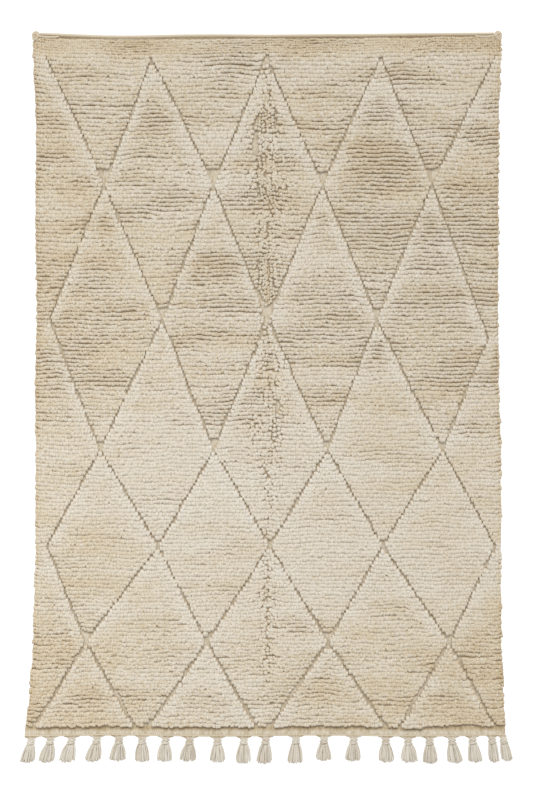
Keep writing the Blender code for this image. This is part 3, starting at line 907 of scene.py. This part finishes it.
def row_shade_of(tufts, gape):
    """How much painted shade darkens each tuft's root and tip, 0 to 1, in dashes along the rows."""
    row_shade = (0.40 + 0.90 * gape) * graded(tufts.from_head, ROW_SHADE)
    row_shade = row_shade + np.maximum(0.0, own_noise(tufts, ROW_SHADE_DASHES))
    return np.clip(row_shade + rng.normal(0, 0.10, len(row_shade)), 0, 1)


def turn_of(tufts, fold):
    """Which way each tuft leans. The pile parts along the fold, and curls this way and that beside it."""
    x, y = tufts.x, tufts.y
    off = x - parting(y)
    turn = drift(x, y, TURN_DRIFT) + rng.normal(0, 0.07, len(x))
    turn += PARTED * fold * np.tanh(off / 0.010)
    turn += fold * (drift(x, y, FOLD_CURLS) + rng.uniform(-0.5, 0.5, len(x)))
    aside = COMB_TURN * np.where(off > 0, 1, -1) + drift(x, y, COMB_CURLS)
    turn = np.where(tufts.combed, aside + rng.normal(0, 0.12, len(x)), turn)
    corner = hump(np.hypot(from_side(x), tufts.from_head - 0.02), 0.0, 0.055)
    return turn + np.where(x > 0, 1, -1) * corner * CORNER_TURN


def bent_tufts(tufts, gape, fold):
    """The line of each tuft from its root over its belly to its tip, its half-sizes, and its own stray."""
    x, y, from_head, combed = tufts.x, tufts.y, tufts.from_head, tufts.combed
    count = len(x)
    rim = fading(from_side(x), 0.006)
    fine = fineness(from_head)
    turn = turn_of(tufts, fold)

    # Single tufts differ, and they are smaller in the fine rows, along the fold and at the sides.
    lean = CLOSED_LEAN + (OPEN_LEAN - CLOSED_LEAN) * gape
    lean *= np.where(combed, COMB_PITCH / HEAD_PITCH, 1 - 0.42 * fold)
    lean *= (1 + rng.normal(0, 0.06, count)) * (1 - 0.42 * fine)
    rise = TUFT_RISE * (1 + drift(x, y, PILE_SWELL) + rng.normal(0, 0.05, count))
    rise *= (1 - 0.30 * fine) * (1 - 0.10 * fold) * (1 - 0.18 * rim)
    tip = CLOSED_TIP + (OPEN_TIP - CLOSED_TIP) * gape
    tip += TIP_LIFT * (1 - gape) * graded(from_head, SMOOTH_PART)
    # The tips hang down where the pile ends, above a furrow or over the skirt.
    below = np.minimum(furrow_reach(x, y)[0], y - SKIRT_TOP + 0.010)
    tip *= 1 - EDGE_DROOP * hump(below, 0.0, 0.017)
    narrow = np.where(combed, 0.75, 1.0) * (1 - 0.15 * fine)
    wide = TUFT_WIDE * narrow * (1 + rng.normal(0, 0.10, count))
    thick = TUFT_THICK * (1 - 0.15 * fine) * (1 + rng.normal(0, 0.08, count))

    reach_x = lean * np.sin(turn) + np.where(x > 0, 1, -1) * rim * rng.uniform(*RIM_STRAY, count)
    reach_y = -lean * np.cos(turn)
    across, along = FOLD_STRAY
    x = x + fold * rng.uniform(-across, across, count)
    y = y + fold * rng.uniform(-along, along, count) + rng.normal(0, 0.0007, count)
    lines = np.empty((count, len(OUT_BY_RING), 3))
    lines[..., 0] = x[:, None] + reach_x[:, None] * OUT_BY_RING
    lines[..., 1] = y[:, None] + reach_y[:, None] * OUT_BY_RING
    lines[..., 2] = TUFT_ROOT + rise[:, None] * np.stack((0 * tip, 0 * tip + 1, tip), axis=-1)
    tufts = tufts._replace(x=x, y=y)
    return lie_down(lines), wide[:, None] * WIDE_BY_RING, thick[:, None] * THICK_BY_RING, tufts


def make_pile(material):
    """All tufts, as a piece for each band between two rows of the lattice's crossings."""
    tufts = tuft_roots()
    gape = gape_at(tufts)
    fold = fold_at(tufts.x, tufts.from_head)
    lines, wide, thick, tufts = bent_tufts(tufts, gape, fold)
    tone = tone_of(tufts)[:, None]
    row_shade = row_shade_of(tufts, gape)
    last_row = tufts.number[~tufts.combed].max()
    # Painted shadow for the last row's tips, stronger on some tufts than on others.
    hem_shade = np.where(tufts.number == last_row, rng.uniform(0.45, 1.0, len(row_shade)), 0.0)

    shape = strand_shape(TUFT_SIDES, len(OUT_BY_RING), TUFT_CORNER, math.radians(45))
    limits = [row.from_head for row in LATTICE[1:-1]]
    band_of = np.searchsorted(limits, tufts.from_head)
    for k in range(len(limits) + 1):
        mine = band_of == k
        name = f"pile_band_{k + 1}"
        mesh = strands(name, shape, lines[mine], wide[mine], thick[mine], tone[mine])
        paint(mesh, "row_shade", np.repeat(row_shade[mine], len(shape.ring)))
        paint(mesh, "hem_shade", np.repeat(hem_shade[mine], len(shape.ring)))
        piece(name, mesh, material, "wool_pile", ["pile_field"])


# -------- the woven ground
def mesh_from(bm, name):
    """A mesh from a bmesh, with its faces outwards, flat as they are."""
    bmesh.ops.recalc_face_normals(bm, faces=bm.faces)
    mesh = bpy.data.meshes.new(name)
    bm.to_mesh(mesh)
    bm.free()
    return mesh


def make_ground(material):
    """The flat weave under the pile, bare in the furrows and along the skirt."""
    bm = bmesh.new()
    bmesh.ops.create_grid(bm, x_segments=80, y_segments=120, size=0.5)
    top = LENGTH / 2 - HEAD_CORD - GAP
    bottom = -LENGTH / 2 + FOOT_CORD + GAP
    bmesh.ops.scale(bm, verts=bm.verts, vec=(WIDTH, top - bottom, 1))
    bmesh.ops.translate(bm, verts=bm.verts, vec=(0, (top + bottom) / 2, 0))
    for corner in (-1, 1):
        bmesh.ops.bisect_plane(
            bm,
            geom=bm.verts[:] + bm.edges[:] + bm.faces[:],
            dist=1e-6,
            plane_co=(corner * (WIDTH / 2 - CORNER_CUT), FIELD_TOP, 0),
            plane_no=Vector((corner, 1, 0)).normalized(),
            clear_outer=True,
        )
    _, verts = extrude(bm, bm.faces[:], keep=True)
    bmesh.ops.translate(bm, verts=verts, vec=(0, 0, GROUND))
    mesh = mesh_from(bm, "ground_weave")
    points = np.empty(len(mesh.vertices) * 3, np.float32)
    mesh.vertices.foreach_get("co", points)
    points = lie_down(points.reshape(-1, 3).astype(float))
    mesh.vertices.foreach_set("co", points.astype(np.float32).ravel())
    return piece("ground_weave", mesh, material, "wool_pile", ["pile_field"])


# -------- the cords and their knots
def edge_cord(name, y, diameter, half, lay, material):
    """A firm roll along an edge of the rug, with a yarn laid round it in slow turns."""
    steps = int(2 * half / (lay / CORD_STEPS))
    x = np.linspace(-half, half, steps)
    level = np.zeros(steps)
    roll = np.stack((x, y + level, diameter / 2 + level), axis=-1)
    angle = 2 * math.pi * x / lay + drift(x, 0.0, LAY_DRIFT)
    orbit = diameter * YARN_ORBIT
    yarn = roll + np.stack((level, orbit * np.cos(angle), orbit * np.sin(angle)), axis=-1)
    lines = lie_down(np.array((roll, yarn)))
    thick = diameter * np.array(((ROLL_HALF,), (YARN_HALF,)))
    tone = 0.5 + drift(x, 0.0, CORD_TONE_DRIFT) + np.array(((0.0,), (-0.25,)))
    mesh = strands(name, strand_shape(10, steps), lines, thick, thick, np.clip(tone, 0, 1))
    return piece(name, mesh, material, "wool_cord", [name])


def corner_knot(name, side, material):
    """A ball of wound cord that ties off the head cord, with its end laid along under the cord."""
    centre = np.array((side * (WIDTH / 2 - KNOT_INSET), LENGTH / 2 - HEAD_CORD - GAP, KNOT_HEIGHT))
    angle = np.linspace(0, 2 * math.pi, KNOT_STEPS)
    turns, axles = [], []
    for wind in KNOT_WINDS:
        ring = np.stack((np.cos(angle), np.sin(angle) * wind.squash, 0 * angle), axis=-1) * wind.radius
        ring[:, 2] += wind.lift
        turned = Matrix.Rotation(side * math.radians(wind.spin), 3, "Z")
        turned = turned @ Matrix.Rotation(math.radians(wind.tilt), 3, "X")
        turns.append(ring @ np.array(turned).T + centre + (0, -wind.below, 0))
        axles.append(np.array(turned)[:, 2])
    lines = lie_down(np.array(turns))
    lines[..., 2] = np.maximum(lines[..., 2], KNOT_CORD)
    tone = np.array([wind.tone for wind in KNOT_WINDS])[:, None]
    shape = strand_shape(8, KNOT_STEPS)
    mesh = strands(name, shape, lines, KNOT_CORD, KNOT_CORD, tone, np.array(axles))
    piece(name, mesh, material, "wool_cord", [name])

    # The cord's end comes back out of the knot and is laid in beside the head cord.
    share = np.linspace(0, 1, KNOT_STEPS)
    line = np.empty((1, KNOT_STEPS, 3))
    line[0, :, 0] = centre[0] - side * (0.008 + KNOT_TAIL * share)
    line[0, :, 1] = centre[1] - 0.003 - 0.004 * np.sin(math.pi * share)
    line[0, :, 2] = 0.0185 - 0.0035 * share
    mesh = strands(name + "_end", shape, lie_down(line), 0.0042, 0.0040, 0.55)
    piece(name + "_end", mesh, material, "wool_cord", [name])


# -------- the tassels
def settle(lines, place):
    """Puts a tassel's lines, drawn from its own foot, to their place on the rug."""
    laid = lines.copy()
    laid[..., 0] += place.stray * np.maximum(0.0, -lines[..., 1] - KNOT_BELOW) + place.across
    laid[..., 1] += -LENGTH / 2 - GAP
    return lie_down(laid)


def brush_mesh(name, number, place):
    """Clumps of yarns over an even layer that closes the brush between them."""
    share = YARN_SHARES
    under = np.linspace(-0.97, 0.97, UNDER_YARNS)
    clump = np.arange(CLUMPED_YARNS) % CLUMPS
    off = np.concatenate((under, (clump + 0.5) / CLUMPS * 2 - 1))
    yarns = len(off)
    upper = np.arange(yarns) >= UNDER_YARNS
    stray = np.where(upper, rng.normal(0, 0.085, yarns), rng.normal(0, 0.02, yarns))
    off = np.clip(off + stray, -1, 1)
    layer = np.where(upper, rng.uniform(0.35, 1.0, yarns), rng.uniform(0.0, 0.2, yarns))
    tip_x = off * (place.spread / 2 - 0.0025)
    root_x = off * BRUSH_ROOT
    uneven = rng.normal(0, 0.0028, yarns)
    uneven[upper] += 0.004 * np.cos(clump * 2.4 + number) - 0.001
    tip_y = place.reach - 0.009 * off**2 + np.clip(uneven, -0.008, 0.003)
    bell = BELL * (1 - (1 - share) ** 2.4) + (1 - BELL) * share
    lines = np.empty((yarns, len(share), 3))
    lines[..., 0] = root_x[:, None] + (tip_x - root_x)[:, None] * bell
    lines[..., 1] = -(BRUSH_TOP + (tip_y - BRUSH_TOP)[:, None] * share)
    low = 0.0021 + 0.0072 * layer * (1 - 0.6 * off**2)
    high = 0.0050 + 0.0085 * layer
    lines[..., 2] = low[:, None] + (high - low)[:, None] * (1 - smooth(share * 1.7))
    lines[:, 1:, 0] += 0.0010 * rng.normal(0, 1, (yarns, 1)) * np.sin(share[1:] * 5 + number)
    # The even layer under the clumps is darker: painted shade between and beneath the clumps.
    tone = 0.82 + rng.normal(0, 0.18, yarns) - 0.32 * ~upper
    tone = np.clip(tone, 0, 1)[:, None]
    radius = YARN * YARN_BY_RING
    shape = strand_shape(5, len(share))
    return strands(name, shape, settle(lines, place), radius, radius, tone)


def legs_mesh(name, place):
    """The warps, gathered in from the foot cord to the knot."""
    share = np.linspace(0, 1, LEG_RINGS)
    apart = np.linspace(-1, 1, LEGS)
    crossed = np.arange(LEGS) % 2
    narrow, fan = LEG_SPAN
    half = (narrow + fan * place.spread) / 2
    legs = np.empty((LEGS, LEG_RINGS, 3))
    legs[..., 0] = apart[:, None] * (LEG_KNOT + (half - LEG_KNOT) * (1 - share) ** 2.6)
    # At a corner the warps come from no further out than the rug's side.
    room = max(LEG_KNOT, WIDTH / 2 - abs(place.across))
    outward = legs[..., 0] * np.sign(place.across)
    legs[..., 0] -= np.sign(place.across) * np.maximum(0.0, outward - room)
    sag = 0.002 * (1 - share) * np.abs(apart)[:, None]
    legs[..., 1] = 0.003 - 0.016 * share - sag
    legs[..., 2] = 0.0036 + 0.0065 * smooth(share) + 0.0022 * crossed[:, None]
    # Their roots, where they come out of the foot cord, lie low, and painted shade darkens them.
    root_shade = rng.uniform(0.1, 1.1, LEGS)[:, None] * hump(share, 0.0, 0.42)
    tone = np.clip(np.array((0.45, 0.80))[crossed][:, None] - root_shade, 0, 1)
    return strands(name, strand_shape(6, LEG_RINGS), settle(legs, place), LEG, LEG, tone)


def knot_mesh(name, place):
    """Turns round the bundle, each a little askew."""
    angle = np.linspace(0, 2 * math.pi, KNOT_TURN_STEPS)
    turns = np.empty((len(KNOT_TURNS), KNOT_TURN_STEPS, 3))
    for k, turn in enumerate(KNOT_TURNS):
        turns[k, :, 0] = turn.half * np.cos(angle)
        turns[k, :, 1] = -(turn.below + turn.half * turn.askew * np.cos(angle))
        turns[k, :, 2] = 0.0108 + 0.0066 * np.sin(angle)
    axle = np.array([(turn.askew, 1.0, 0.0) for turn in KNOT_TURNS])
    tone = rng.uniform(0.45, 0.9, (len(KNOT_TURNS), 1))
    shape = strand_shape(7, KNOT_TURN_STEPS)
    return strands(name, shape, settle(turns, place), KNOT_TURN, KNOT_TURN, tone, axle)


def make_tassels(material):
    """Each tassel: a brush of yarns, legs from the foot cord, and a wound knot."""
    for number, place in enumerate(TASSELS, start=1):
        node = f"tassel_{number:02d}"
        brush = brush_mesh(f"{node}_brush", number, place)
        legs = legs_mesh(f"{node}_legs", place)
        knot = knot_mesh(f"{node}_knot", place)
        for mesh in (brush, legs, knot):
            piece(mesh.name, mesh, material, "wool_tassel", [node])


# -------- the floor, the light and the camera
PANEL_PLACE = Vector((-2.6, -0.45, 2.6))


def stand(name, data):
    """Puts a new object with this data into the scene."""
    made = bpy.data.objects.new(name, data)
    bpy.context.scene.collection.objects.link(made)
    return made


def make_floor():
    bm = bmesh.new()
    bmesh.ops.create_grid(bm, x_segments=1, y_segments=1, size=45)
    mesh = mesh_from(bm, "floor")
    material, _, shader = new_material("floor_paint", 1.0, 0.0)
    tune(shader, {"Base Color": (0.20, 0.20, 0.20, 1.0)})
    tune(shader, {"Emission Color": (*WHITE, 1.0), "Emission Strength": 0.92})
    mesh.materials.append(material)
    stand("floor", mesh)


def make_light():
    world = bpy.data.worlds.new("studio")
    world.use_nodes = True
    tune(world.node_tree.nodes["Background"], {"Color": (*WHITE, 1.0), "Strength": 0.59})
    bpy.context.scene.world = world
    sun = bpy.data.lights.new("window", "SUN")
    sun.energy = 1.48
    sun.angle = math.radians(35)
    stand("window", sun).rotation_euler = [math.radians(turn) for turn in (-34, 0, -6)]

    # A soft lamp on the left, so that the rug grows a little darker to the right.
    panel = bpy.data.lights.new("panel", "AREA")
    panel.energy = 16
    panel.size = 1.5
    lamp = stand("panel", panel)
    lamp.location = PANEL_PLACE
    lamp.rotation_euler = PANEL_PLACE.to_track_quat("Z", "Y").to_euler()


def make_camera():
    """The photo's view: from straight above, and from far off."""
    camera = bpy.data.cameras.new("camera")
    camera.sensor_width = 36
    camera.lens = 94.9
    camera.clip_end = 100
    eye = stand("camera", camera)
    eye.location = (-0.0031, -0.0603, 9.012)
    bpy.context.scene.camera = eye
    bpy.context.scene.view_settings.view_transform = "Standard"


make_camera()
make_light()
make_floor()
ground = make_ground(ground_wool())
make_pile(pile_wool())
cord_wool = spun_wool("cord_wool", (0.76, 0.69, 0.55), (0.60, 0.49, 0.33))
tassel_wool = spun_wool("tassel_wool", (0.83, 0.79, 0.705), (0.42, 0.32, 0.19))
head_half = WIDTH / 2 - KNOT_INSET - KNOT_SEAT
edge_cord("head_cord", (LENGTH - HEAD_CORD) / 2, HEAD_CORD, head_half, 0.060, cord_wool)
edge_cord("foot_cord", (FOOT_CORD - LENGTH) / 2, FOOT_CORD, WIDTH / 2, 0.034, cord_wool)
corner_knot("corner_knot_left", -1, cord_wool)
corner_knot("corner_knot_right", 1, cord_wool)
make_tassels(tassel_wool)
